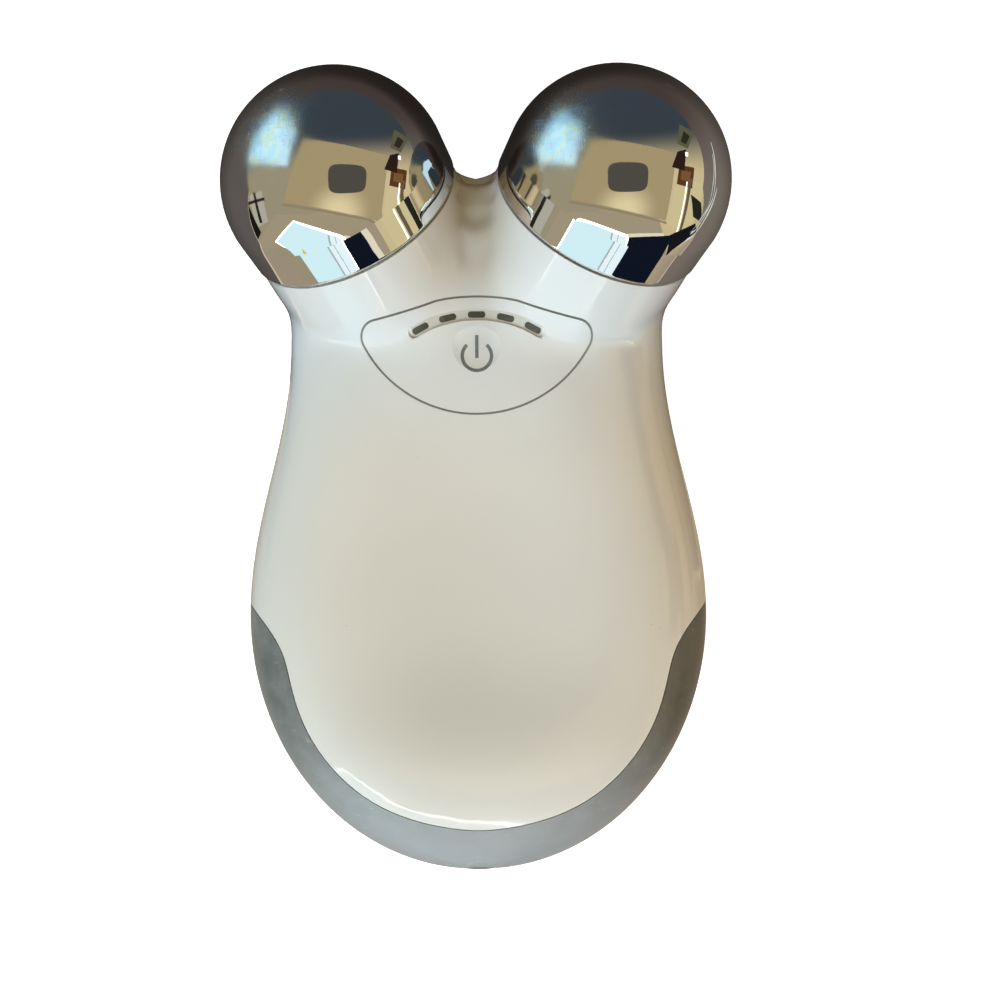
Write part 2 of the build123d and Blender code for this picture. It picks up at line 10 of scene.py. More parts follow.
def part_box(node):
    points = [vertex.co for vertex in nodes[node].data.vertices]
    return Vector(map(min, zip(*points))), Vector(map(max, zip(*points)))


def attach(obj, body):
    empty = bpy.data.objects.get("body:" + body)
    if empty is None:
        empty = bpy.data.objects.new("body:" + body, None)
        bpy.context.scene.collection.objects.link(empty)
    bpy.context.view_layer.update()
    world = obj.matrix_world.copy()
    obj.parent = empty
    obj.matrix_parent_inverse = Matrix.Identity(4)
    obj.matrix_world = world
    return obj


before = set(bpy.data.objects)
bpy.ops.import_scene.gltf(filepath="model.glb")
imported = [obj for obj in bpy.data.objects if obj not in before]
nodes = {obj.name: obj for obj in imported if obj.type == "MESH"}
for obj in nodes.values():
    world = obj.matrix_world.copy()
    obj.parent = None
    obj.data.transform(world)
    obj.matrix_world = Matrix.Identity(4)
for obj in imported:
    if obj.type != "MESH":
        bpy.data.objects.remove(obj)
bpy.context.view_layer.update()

MM = 0.001

# ---- places taken from the frame ----
left_ball_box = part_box("left_ball")
right_ball_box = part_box("right_ball")

# ---- printed power symbol, on the finger dimple ----
symbol_at = (0.0, 13.88 * MM)
ring_r = 1.72 * MM
stroke = 0.40 * MM
ring_gap = radians(42)
bar_low, bar_high = 13.62 * MM, 16.32 * MM
print_height = 0.012 * MM
print_depth = 0.04 * MM

# ---- grey strip in the seam round the panel that paints the seam's shade, in millimetres from the panel's edge and face ----
seam_inner, seam_outer = 0.02, 0.23
seam_top, seam_foot = 0.10, 0.30
panel_middle = (0, 14.6 * MM)

# ---- groove that the status windows stand in, with painted shade on its floor and walls ----
groove_at = (0.0, 4.7 * MM)
groove_r = 14.0 * MM
groove_half = 7.65 * MM
groove_low = 12 * MM

# ---- areas of the body's front: centre, radius, and how far they fade out ----
right_neck_painted_light = (16 * MM, 19 * MM, 24 * MM), 2.0 * MM, 9.0 * MM
saddle_painted_shade = (-2.8 * MM, 29.3 * MM, 22 * MM), 3.2 * MM, 9.6 * MM
dish_painted_shade = (0, -30.0 * MM, 23 * MM), 1.0 * MM, 13.0 * MM, (0.48, 1, 1)
dimple_painted_shade = (0.3 * MM, 16.3 * MM, 23.3 * MM), 0.4 * MM, 2.3 * MM
worn_dish = (0, -13 * MM, 22 * MM), 11 * MM, 13 * MM
worn_panel = (0, 14 * MM, 23 * MM), 9 * MM, 7 * MM
crease_reach = 5 * MM         # either side of the middle line

# ---- along the body: where a change of tone starts and ends ----
neck_cool_light_fade = (0.0, 16 * MM)
lit_scuffed_tail_fade = (-46 * MM, -28 * MM)
right_flank_painted_shade = (13 * MM, 26 * MM)
socket_fade = (-47.75 * MM, -47.45 * MM)

# ---- camera: straight above the front, rolled a little ----
camera_height = 0.2546
camera_at = (0.06 * MM, 0.82 * MM)
camera_lens = 70.94
camera_roll = radians(-0.334)
camera_shift = (0.022, -0.033)

# ---- lamps ----
lamp_aim = (0, 0, 0.012)
lamp_size = 0.6

# ---- room that the polished balls reflect ----
ball_radius = 13.5 * MM
balls_middle = Vector((0, right_ball_box[1].y - ball_radius, right_ball_box[1].z - ball_radius))
smear_way = (-0.53, 0.37, 0.76)                       # from a ball's middle to its greasy spot
dome_radius = 1.5
layer_gap = 0.03                                      # between two patches that overlap
pool_way = (0.10, -0.62, 0.78)                        # to the daylight on the ceiling
camera_back_at, camera_back_half = (45, -22, 200), (71, 50)
camera_back_bend = 0.45                               # 1 is an ellipse, 0 a rectangle
table_height = 1.5 * MM
table_edge = [(900, -50), (82, -11.5), (41, -12.9), (23, 8.8), (-29, 11), (-73, -8), (-900, -50)]
table_far = 0.9
table_rim, table_rim_lift = 1.6 * MM, 0.1 * MM
table_shade = (0, 65 * MM, 0), 15 * MM, 70 * MM       # centre, radius, fade

# ---- floor and world ----
room_light = 0.40
floor_glow = 0.85
floor_size = 12.0
floor_drop = 0.05 * MM


# ================= shader arithmetic =================
class Signal:
    """One output of a finish's nodes. Python's arithmetic on it adds Math nodes."""

    def __init__(self, finish, socket):
        self.finish = finish
        self.socket = socket

    def math(self, operation, *values):
        return self.finish.node("ShaderNodeMath", {"operation": operation}, values)

    def __add__(self, other):
        return self.math("ADD", self, other)

    def __radd__(self, other):
        return self.math("ADD", other, self)

    def __sub__(self, other):
        return self.math("SUBTRACT", self, other)

    def __rsub__(self, other):
        return self.math("SUBTRACT", other, self)

    def __mul__(self, other):
        return self.math("MULTIPLY", self, other)

    def __rmul__(self, other):
        return self.math("MULTIPLY", other, self)

    def __truediv__(self, other):
        return self.math("DIVIDE", self, other)

    def __gt__(self, other):
        return self.math("GREATER_THAN", self, other)

    def step(self, low, high):
        """0 below low, 1 above high, smooth between."""
        return self.finish.node("ShaderNodeMapRange", {"interpolation_type": "SMOOTHSTEP"},
                                {"Value": self, "From Min": low, "From Max": high})


class Finish:
    """A procedural material while it is put together."""

    def __init__(self, name):
        self.material = bpy.data.materials.new(name)
        self.material.use_nodes = True
        self.tree = self.material.node_tree
        self.shader = self.tree.nodes["Principled BSDF"]

    @classmethod
    def over(cls, tree):
        """The same node maker for a tree that is no material's."""
        made = cls.__new__(cls)
        made.tree = tree
        tree.nodes.clear()
        return made

    def feed(self, socket, value):
        if isinstance(value, Signal):
            self.tree.links.new(value.socket, socket)
        elif isinstance(value, (tuple, list)) and socket.type == "RGBA" and len(value) == 3:
            socket.default_value = (*value, 1)
        else:
            socket.default_value = value

    def node(self, kind, settings=None, inputs=(), output=0):
        """Adds a node: its settings first, then its sockets by place or name. Returns one output."""
        made = self.tree.nodes.new(kind)
        for name, value in (settings or {}).items():
            if name == "stops":
                ramp = made.color_ramp.elements
                while len(ramp) < len(value):
                    ramp.new(0.5)
                for element, (place, colour) in zip(ramp, value):
                    element.position = place
                    element.color = (*colour, 1)
            else:
                setattr(made, name, value)
        named = inputs.items() if isinstance(inputs, dict) else enumerate(inputs)
        for key, value in named:
            self.feed(made.inputs[key], value)
        return Signal(self, made.outputs[output]) if len(made.outputs) else None

    def place(self):
        return self.node("ShaderNodeTexCoord", output="Object")

    def stretched(self, scale, turn=(0, 0, 0)):
        return self.node("ShaderNodeMapping", None,
                         {"Vector": self.place(), "Scale": scale, "Rotation": turn})

    def axis(self, name):
        return self.node("ShaderNodeSeparateXYZ", None, [self.place()], name)

    def noise(self, scale, detail=3.0, rough=0.55, at=None):
        return self.node("ShaderNodeTexNoise", None,
                         {"Vector": at or self.place(), "Scale": scale, "Detail": detail, "Roughness": rough})

    def blend(self, share, low, high):
        return self.node("ShaderNodeMix", {"data_type": "RGBA"},
                         {"Factor": share, 6: low, 7: high}, 2)

    def bump(self, height, distance, over=None):
        """Small relief, over the surface's own normal or over a given one."""
        sockets = {"Height": height, "Distance": distance}
        if over:
            sockets["Normal"] = over
        return self.node("ShaderNodeBump", None, sockets)

    def near(self, centre, radius, soft, squeeze=(1, 1, 1)):
        """1 inside a ball about a point, fading out over soft; squeeze below 1 stretches the ball."""
        at = self.node("ShaderNodeVectorMath", {"operation": "MULTIPLY"}, [self.place(), squeeze], "Vector")
        middle = Vector(c * k for c, k in zip(centre, squeeze))
        far = self.node("ShaderNodeVectorMath", {"operation": "DISTANCE"}, [at, middle], "Value")
        return 1 - far.step(radius, radius + soft)

    def level_across(self, reach):
        """The surface's normal, eased to face straight ahead along the middle line."""
        x = self.axis("X")
        ease = x.math("ABSOLUTE", x).step(0.0, reach)
        share = self.node("ShaderNodeCombineXYZ", None, [ease, 1.0, 1.0])
        normal = self.node("ShaderNodeNewGeometry", output="Normal")
        eased = self.node("ShaderNodeVectorMath", {"operation": "MULTIPLY"}, [normal, share], "Vector")
        return self.node("ShaderNodeVectorMath", {"operation": "NORMALIZE"}, [eased], "Vector")

    def set(self, **sockets):
        for name, value in sockets.items():
            self.feed(self.shader.inputs[name.replace("_", " ")], value)
        return self.material

    def give_light(self, colour, strength=1.0):
        """Makes the finish glow and reflect nothing."""
        return self.set(Base_Color=(0, 0, 0), Roughness=1.0, Specular_IOR_Level=0.0,
                        Emission_Color=colour, Emission_Strength=strength)


# ================= finishes =================
def in_shaded_groove(f):
    """1 on the floor and walls of the panel's curved groove."""
    x, y = f.axis("X"), f.axis("Y")
    rise = y - groove_at[1]
    off = f.node("ShaderNodeMath", {"operation": "SQRT"}, [x * x + rise * rise]) - groove_r
    ring = (1 - off.math("ABSOLUTE", off).step(0.60 * MM, 0.70 * MM)) * (y > groove_low)
    return ring * (1 - x.math("ABSOLUTE", x).step(groove_half - 0.1 * MM, groove_half + 0.1 * MM))


def warm_white_plastic():
    """Glossy ABS: bluer towards the necks as painted cool window light, a painted highlight on the right
    neck, painted shade between the necks, low in the dish, in the finger dimple and in the panel's groove,
    worn satin where thumb and finger rest, with wipe marks and specks of dust."""
    f = Finish("warm_white_plastic")
    drift = f.noise(28, 2)
    colour = f.blend(drift.step(0.35, 0.7), (0.800, 0.785, 0.735), (0.830, 0.815, 0.770))
    # Painted light: bluer towards the necks, for the cool window light they catch.
    colour = f.blend(f.axis("Y").step(*neck_cool_light_fade) * 0.8, colour, (0.752, 0.777, 0.790))
    # Painted highlight: the right neck lighter and bluer, for the window it reflects.
    colour = f.blend(f.near(*right_neck_painted_light) * 0.8, colour, (0.80, 0.86, 0.88))
    # Painted shade: darker tan in the hollow between the necks; the same mask also makes it satin there.
    saddle_shade_and_satin = f.near(*saddle_painted_shade)
    colour = f.blend(saddle_shade_and_satin * 0.66, colour, (0.500, 0.446, 0.365))
    # Painted shade: greyer low in the dish, which faces away from the lamps.
    colour = f.blend(f.near(*dish_painted_shade) * 0.5, colour, (0.610, 0.592, 0.545))
    # Painted shade: darker on the finger dimple's upper wall.
    colour = f.blend(f.near(*dimple_painted_shade) * 0.30, colour, (0.48, 0.48, 0.47))
    # Painted shade: darker beige on the floor and walls of the groove.
    colour = f.blend(in_shaded_groove(f) * 0.65, colour, (0.54, 0.52, 0.45))
    dish = f.near(*worn_dish)
    worn = dish.math("MAXIMUM", dish.math("MAXIMUM", dish, f.near(*worn_panel)), saddle_shade_and_satin)
    specks = f.noise(2600, 1, 0.4).step(0.80, 0.83) * f.noise(90, 1).step(0.5, 0.62)
    colour = f.blend(specks * 0.5, colour, (0.30, 0.27, 0.22))
    wipe = f.noise(1.0, 4, 0.6, f.stretched((900, 130, 300), (0, 0, 0.5))).step(0.5, 0.75)
    gloss = 0.13 + 0.07 * f.noise(70, 3).step(0.35, 0.75) + 0.04 * wipe * (1 - worn) + 0.04 * worn
    skin = f.bump(f.noise(900, 2), 0.004 * MM, f.level_across(crease_reach))
    return f.set(Base_Color=colour, Roughness=gloss, Normal=skin, IOR=1.5, Coat_Weight=1 - 0.85 * worn,
                 Coat_IOR=1.6, Coat_Roughness=0.03)


def grip_grey():
    """Soft-touch coat: mottled grey with pale scuffs, painted shade on the right flank and painted light at
    its lower end.
    """
    f = Finish("grip_grey")
    mottle = f.noise(420, 5, 0.65).step(0.32, 0.72)
    cloud = f.noise(120, 3, 0.6).step(0.35, 0.7)
    colour = f.blend(mottle * 0.6 + cloud * 0.4, (0.140, 0.146, 0.142), (0.220, 0.230, 0.228))
    scuff = f.noise(1.0, 4, 0.7, f.stretched((380, 900, 600), (0, 0, 0.6))).step(0.60, 0.74)
    # The band's lower end gets denser scuffs and a painted light: lighter, where the window lights it.
    lit_scuffed_tail = 1 - f.axis("Y").step(*lit_scuffed_tail_fade)
    # Painted shade: darker and warmer on the right flank.
    colour = f.blend(f.axis("X").step(*right_flank_painted_shade) * 0.7, colour, (0.085, 0.073, 0.045))
    colour = f.blend(scuff * (0.35 + 0.30 * lit_scuffed_tail), colour, (0.52, 0.54, 0.55))
    colour = f.blend(lit_scuffed_tail * 0.55, colour, (0.52, 0.55, 0.57))
    rough = 0.34 + 0.12 * mottle - 0.08 * scuff
    return f.set(Base_Color=colour, Roughness=rough, Normal=f.bump(f.noise(2400, 2), 0.012 * MM),
                 Coat_Weight=0.4, Coat_Roughness=0.22)


def polished_chrome(side, ball_box):
    """Mirror plate with hairline scratches and a greasy, faintly iridescent smear."""
    f = Finish("polished_chrome")
    outer = ball_box[1].x - ball_radius if side > 0 else ball_box[0].x + ball_radius
    middle = Vector((outer, balls_middle.y, balls_middle.z))
    smear_at = middle + ball_radius * Vector(smear_way)
    patchy = 0.55 + 0.6 * f.noise(420, 4, 0.7).step(0.3, 0.7)
    smear = f.near(smear_at, 1.0 * MM, 7.4 * MM) * patchy
    hair = f.noise(1.0, 3, 0.6, f.stretched((5200, 420, 900), (0.2, 0.1, 0.9))).step(0.55, 0.72)
    hair_two = f.noise(1.0, 3, 0.6, f.stretched((600, 4600, 900), (0, 0.3, -0.4))).step(0.58, 0.76)
    film = f.node("ShaderNodeValToRGB", {"stops": [
        (0.25, (0.55, 0.62, 0.86)), (0.42, (0.58, 0.84, 0.92)), (0.52, (0.92, 0.90, 0.66)),
        (0.62, (0.62, 0.80, 0.90)), (0.75, (0.74, 0.70, 0.88))]}, [f.noise(260, 3, 0.6)], "Color")
    colour = f.blend(smear * 0.85, (0.80, 0.795, 0.785), film)
    breath = (f.axis("Y") - middle.y).step(0.30 * ball_radius, 0.85 * ball_radius)
    haze = f.near(smear_at, 3.0 * MM, 9.5 * MM)
    hairs = hair + hair_two
    rough = 0.018 + 0.30 * smear + 0.10 * hairs * smear + (0.16 * breath + 0.10 * haze) * (1 - smear)
    marks = f.bump(hairs * (0.04 + smear), 0.0035 * MM)
    return f.set(Base_Color=colour, Metallic=1.0, Roughness=rough, Normal=marks)


def smoke_window():
    f = Finish("smoke_window")
    colour = f.blend(f.noise(900, 2).step(0.4, 0.7), (0.060, 0.062, 0.050), (0.090, 0.090, 0.074))
    return f.set(Base_Color=colour, Roughness=0.2 + 0.1 * f.noise(700, 2), IOR=1.5)


def printed_grey():
    f = Finish("printed_grey")
    colour = f.blend(f.noise(1500, 3).step(0.4, 0.7), (0.150, 0.172, 0.176), (0.190, 0.212, 0.214))
    return f.set(Base_Color=colour, Roughness=0.42 + 0.1 * f.noise(1200, 2))


def moulded(name, low, high, rough, scale=500.0):
    """Plain moulded or rubber piece inside the housing."""
    f = Finish(name)
    tone = f.noise(scale, 3)
    return f.set(Base_Color=f.blend(tone, low, high), Roughness=rough + 0.15 * tone,
                 Normal=f.bump(f.noise(3 * scale, 2), 0.01 * MM))


def metal(name, low, high, rough):
    """Turned or stamped metal with fine lines along its making."""
    f = Finish(name)
    lines = f.noise(1.0, 3, 0.6, f.stretched((300, 300, 5000)))
    return f.set(Base_Color=f.blend(lines, low, high), Metallic=1.0, Roughness=rough + 0.15 * lines,
                 Normal=f.bump(lines, 0.004 * MM))


def socket_black():
    """Black nylon with a grey face that matches the grip round it."""
    f = Finish("socket_black")
    face = 1 - f.axis("Y").step(*socket_fade)
    tone = f.noise(500, 3)
    colour = f.blend(face, f.blend(tone, (0.014, 0.014, 0.014), (0.03, 0.03, 0.03)), (0.24, 0.25, 0.25))
    return f.set(Base_Color=colour, Roughness=0.45 + 0.1 * tone, Normal=f.bump(f.noise(1500, 2), 0.01 * MM))


def circuit_laminate():
    f = Finish("circuit_laminate")
    weave = f.node("ShaderNodeTexVoronoi", None, {"Vector": f.place(), "Scale": 900}, "Distance")
    colour = f.blend(weave, (0.010, 0.085, 0.035), (0.020, 0.150, 0.065))
    return f.set(Base_Color=colour, Roughness=0.3 + 0.1 * weave, Normal=f.bump(weave, 0.01 * MM))


def finish_cad_nodes():
    white = warm_white_plastic()
    black = moulded("black_nylon", (0.014, 0.014, 0.014), (0.03, 0.03, 0.03), 0.5)
    steel = metal("screw_steel", (0.50, 0.50, 0.51), (0.66, 0.66, 0.66), 0.28)
    brass = metal("contact_brass", (0.62, 0.48, 0.22), (0.80, 0.66, 0.34), 0.25)
    foil = metal("cell_foil", (0.60, 0.60, 0.62), (0.74, 0.74, 0.75), 0.32)
    wire = moulded("wire_red", (0.34, 0.02, 0.015), (0.46, 0.03, 0.02), 0.4)
    acetal = moulded("natural_acetal", (0.66, 0.64, 0.56), (0.74, 0.72, 0.65), 0.4)
    silicone = moulded("silicone", (0.16, 0.17, 0.18), (0.22, 0.23, 0.24), 0.55)
    by_node = {
        "front_shell": white, "rear_shell": white, "control_panel": white, "grip_band": grip_grey(),
        "left_ball": polished_chrome(-1, left_ball_box), "right_ball": polished_chrome(1, right_ball_box),
        "light_guide": smoke_window(), "circuit_board": circuit_laminate(), "charge_jack": socket_black(),
        "battery_cell": foil, "capacitors": foil, "jack_pin": brass, "battery_plug": acetal,
        "switch_plunger": acetal, "panel_gasket": silicone,
        "battery_pad": moulded("foam_tape", (0.03, 0.03, 0.03), (0.06, 0.06, 0.06), 0.8),
        "step_up_coil": moulded("ferrite", (0.03, 0.028, 0.026), (0.06, 0.055, 0.05), 0.45),
        "status_leds": moulded("led_lens", (0.60, 0.60, 0.44), (0.74, 0.74, 0.58), 0.2),
    }
    for name in ("light_shade", "tact_switch", "microcontroller", "buzzer"):
        by_node[name] = black
    for name in ("housing_screws", "board_screws"):
        by_node[name] = steel
    for name in ("battery_leads", "jack_leads"):
        by_node[name] = wire
    for side in ("left", "right"):
        by_node[f"{side}_ball_seat"] = black
        by_node[f"{side}_ball_seal"] = silicone
        by_node[f"{side}_ball_screw"] = steel
        by_node[f"{side}_ball_tag"] = brass
        by_node[f"{side}_ball_lead"] = wire
    for name, material in by_node.items():
        for material_slot in nodes[name].material_slots:
            material_slot.material = material


# ================= printed symbol and panel seam =================
def made_of(name, bm, material):
    """Turns a bmesh into an object of one material."""
    mesh = bpy.data.meshes.new(name)
    bm.to_mesh(mesh)
    bm.free()
    mesh.materials.append(material)
    made = bpy.data.objects.new(name, mesh)
    bpy.context.scene.collection.objects.link(made)
    return made


def surface_of(node):
    """A function that gives the height of a node's upper surface above a point."""
    mesh = nodes[node].data
    tree = BVHTree.FromPolygons([v.co for v in mesh.vertices], [p.vertices for p in mesh.polygons])
    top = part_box(node)[1].z + MM

    def height(x, y):
        hit = tree.ray_cast(Vector((x, y, top)), Vector((0, 0, -1)))[0]
        return hit.z if hit else None
    return height


def outline_of(height, centre, count=360, reach=20 * MM, stride=0.5 * MM,
               first_slack=2.5 * MM, next_slack=0.5 * MM):
    """Points of the edge of a node's face seen from above, with the face's height at each.
    Each ray is walked inwards from outside, past what lies more than the slack below the face."""
    points = []
    level, slack = height(*centre), first_slack
    for i in range(count):
        way = Vector((cos(2 * pi * i / count), sin(2 * pi * i / count)))

        def on_face(r):
            z = height(*(centre + r * way))
            return z is not None and z > level - slack

        low = reach
        while not on_face(low):
            low -= stride
        high = low + stride
        for _ in range(14):
            mid = (low + high) / 2
            low, high = (mid, high) if on_face(mid) else (low, mid)
        level, slack = height(*(centre + (low - 0.01 * MM) * way)), next_slack
        points.append((centre + low * way, level))
    return points


def panel_seam():
    """Grey strip in the gap round the panel a little below its face, standing in for the seam's shade:
    painted shade.
    """
    edge = outline_of(surface_of("control_panel"), Vector(panel_middle))
    bm = bmesh.new()
    rows = []
    for i, (at, z) in enumerate(edge):
        ahead = edge[(i + 1) % len(edge)][0] - edge[i - 1][0]
        out = Vector((ahead.y, -ahead.x)).normalized()
        row = []
        for off, drop in ((seam_inner, seam_foot), (seam_inner, seam_top),
                          (seam_outer, seam_top), (seam_outer, seam_foot)):
            spot = at + off * MM * out
            row.append(bm.verts.new((spot.x, spot.y, z - drop * MM)))
        rows.append(row)
    for a, b in zip(rows, rows[1:] + rows[:1]):
        for j in range(4):
            bm.faces.new((a[j], a[(j + 1) % 4], b[(j + 1) % 4], b[j]))
    bmesh.ops.recalc_face_normals(bm, faces=bm.faces)
    # Painted shade: a grey strip where the seam has only shade.
    seam_shade_finish = moulded("seam_painted_shade", (0.20, 0.20, 0.175), (0.30, 0.30, 0.27), 0.35)
    seam = made_of("panel_seam", bm, seam_shade_finish)
    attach(seam, "housing")


def print_strip(bm, height, centre, steps, half, across=4):
    """A thin closed strip of print along a centre line, laid on a surface."""
    rows = []
    for i in range(steps + 1):
        (x, y), (nx, ny) = centre(i / steps)
        row = []
        for j in range(across + 1):
            off = half * (2 * j / across - 1)
            px, py = x + nx * off, y + ny * off
            z = height(px, py)
            row.append((bm.verts.new((px, py, z + print_height)), bm.verts.new((px, py, z - print_depth))))
        rows.append(row)
    for a, b in zip(rows, rows[1:]):
        for j in range(across):
            bm.faces.new((a[j][0], a[j + 1][0], b[j + 1][0], b[j][0]))
            bm.faces.new((a[j][1], b[j][1], b[j + 1][1], a[j + 1][1]))
        bm.faces.new((a[0][0], b[0][0], b[0][1], a[0][1]))
        bm.faces.new((a[-1][0], a[-1][1], b[-1][1], b[-1][0]))
    for row, flip in ((rows[0], False), (rows[-1], True)):
        for j in range(across):
            face = (row[j][0], row[j][1], row[j + 1][1], row[j + 1][0])
            bm.faces.new(face[::-1] if flip else face)


def power_symbol():
    """A plain ring with a gap at the top and a short bar in the gap."""
    height = surface_of("control_panel")
    cx, cy = symbol_at

    def ring(t):
        a = pi / 2 + ring_gap + t * (2 * pi - 2 * ring_gap)
        way = (cos(a), sin(a))
        return (cx + ring_r * way[0], cy + ring_r * way[1]), way

    def bar(t):
        return (cx, bar_high + (bar_low - bar_high) * t), (-1.0, 0.0)

    bm = bmesh.new()
    print_strip(bm, height, ring, 96, stroke / 2)
    print_strip(bm, height, bar, 16, stroke / 2)
    bmesh.ops.recalc_face_normals(bm, faces=bm.faces)
    symbol = made_of("power_symbol", bm, printed_grey())
    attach(symbol, "panel")


# ================= studio =================
def glow(name, colour, strength=1.0):
    """An even light-giving finish."""
    return Finish(name).give_light(colour, strength)


def hide_but_reflect(made):
    """Leaves an object to glossy rays alone."""
    made.visible_camera = False
    made.visible_diffuse = False
    made.visible_shadow = False
    made.visible_transmission = False


def card(name, points, faces, material):
    """A surface that only reflections show."""
    mesh = bpy.data.meshes.new(name)
    mesh.from_pydata([Vector(p) for p in points], [], faces)
    mesh.materials.append(material)
    made = bpy.data.objects.new(name, mesh)
    bpy.context.scene.collection.objects.link(made)
    hide_but_reflect(made)
    return made


def patch(name, corners, tone, strength=1.0, layer=1, cells=14):
    """Part of the room. Its four corners are in degrees from straight up, x to the right, y away."""
    paint = tone if isinstance(tone, bpy.types.Material) else glow(f"{name}_tone", tone, strength)
    a, b, c, d = [Vector(p) for p in corners]
    points = []
    for i in range(cells + 1):
        for j in range(cells + 1):
            u, v = i / cells, j / cells
            at = (1 - v) * ((1 - u) * a + u * b) + v * ((1 - u) * d + u * c)
            tilt, turn = radians(at.length), atan2(at.y, at.x)
            way = Vector((sin(tilt) * cos(turn), sin(tilt) * sin(turn), cos(tilt)))
            points.append(balls_middle + (dome_radius - layer_gap * layer) * way)
    row = cells + 1
    faces = [(k, k + 1, k + row + 1, k + row) for i in range(cells) for k in range(i * row, i * row + cells)]
    card(name, points, faces, paint)


def room_shell():
    """Beige walls that fall to a dull blue-black on the far side."""
    bm = bmesh.new()
    bmesh.ops.create_uvsphere(bm, u_segments=64, v_segments=32, radius=dome_radius)
    f = Finish("room_shell_tone")
    away = f.axis("Y") / dome_radius
    right = f.axis("X") / dome_radius
    up = f.axis("Z") / dome_radius
    wall = f.blend(right.step(-0.5, 0.8), (0.38, 0.335, 0.225), (0.72, 0.60, 0.34))
    wall = f.blend(away.step(0.0, 0.62), wall, (0.046, 0.060, 0.076))
    wall = f.blend((0 - up).step(0.0, 0.5), wall, (0.40, 0.33, 0.24))
    made = made_of("room_shell", bm, f.give_light(wall))
    made.location = balls_middle
    hide_but_reflect(made)


def table():
    """Dull brown table under the balls; its near edge runs under the body."""
    f = Finish("table_tone")
    way = f.node("ShaderNodeVectorMath", {"operation": "SUBTRACT"}, [f.place(), balls_middle], "Vector")
    way = f.node("ShaderNodeVectorMath", {"operation": "NORMALIZE"}, [way], "Vector")
    away = f.node("ShaderNodeSeparateXYZ", None, [way], "Y")
    right = f.node("ShaderNodeSeparateXYZ", None, [way], "X")
    tone = f.blend(right.step(-0.9, 0.7), (0.130, 0.115, 0.108), (0.215, 0.185, 0.155))
    tone = f.blend(away.step(-0.1, 0.9), tone, (0.070, 0.052, 0.047))
    # Painted shadow: darker under and near the balls, where they shade the table.
    under = 0 - f.node("ShaderNodeSeparateXYZ", None, [way], "Z")
    tone = f.blend(under.step(0.3, 0.95) * 0.6, tone, (0.02, 0.017, 0.015))
    tone = f.blend(f.near(*table_shade) * 0.8, tone, (0.010, 0.008, 0.007))
    f.give_light(tone)
    near = [(x * MM, y * MM, table_height) for x, y in table_edge]
    far = [(x * MM, table_far, table_height) for x, y in table_edge]
    n = len(near)
    faces = [(i, i + 1, n + i + 1, n + i) for i in range(n - 1)]
    card("table", near + far, faces, f.material)
    inner = [(x, y + table_rim, z) for x, y, z in near]
    lifted = [(x, y, z + table_rim_lift) for x, y, z in near + inner]
    card("table_rim", lifted, faces, glow("table_rim_tone", (0.72, 0.62, 0.46)))


def clear_bag():
    """Crumpled clear film on the table beside the right ball: a few bright creases."""
    creases = [[(92, 66), (101, 46), (98, 20), (106, 2), (101, -18), (112, -34)],
               [(108, 60), (117, 30), (112, 6), (124, -16), (122, -40)],
               [(86, 30), (90, 4), (87, -16), (96, -34), (94, -52)]]
    for number, route in enumerate(creases):
        near = [(x * MM, y * MM, table_height + 0.5 * MM) for x, y in route]
        far = [(x + (6 * MM if k % 2 else 2.5 * MM), y + 2 * MM, z) for k, (x, y, z) in enumerate(near)]
        n = len(near)
        faces = [(i, i + 1, n + i + 1, n + i) for i in range(n - 1)]
        card(f"bag_crease_{number}", near + far, faces, glow(f"bag_crease_{number}_tone", (0.80, 0.86, 0.84)))


def ceiling_paint():
    """Warm ceiling with a soft bright pool where the daylight falls."""
    f = Finish("ceiling_paint")
    way = Vector(pool_way).normalized()
    pool = f.near(balls_middle + dome_radius * way, 0.1, 0.75)
    tone = f.blend(pool, (0.45, 0.36, 0.195), (0.90, 0.76, 0.45))
    return f.give_light(tone)


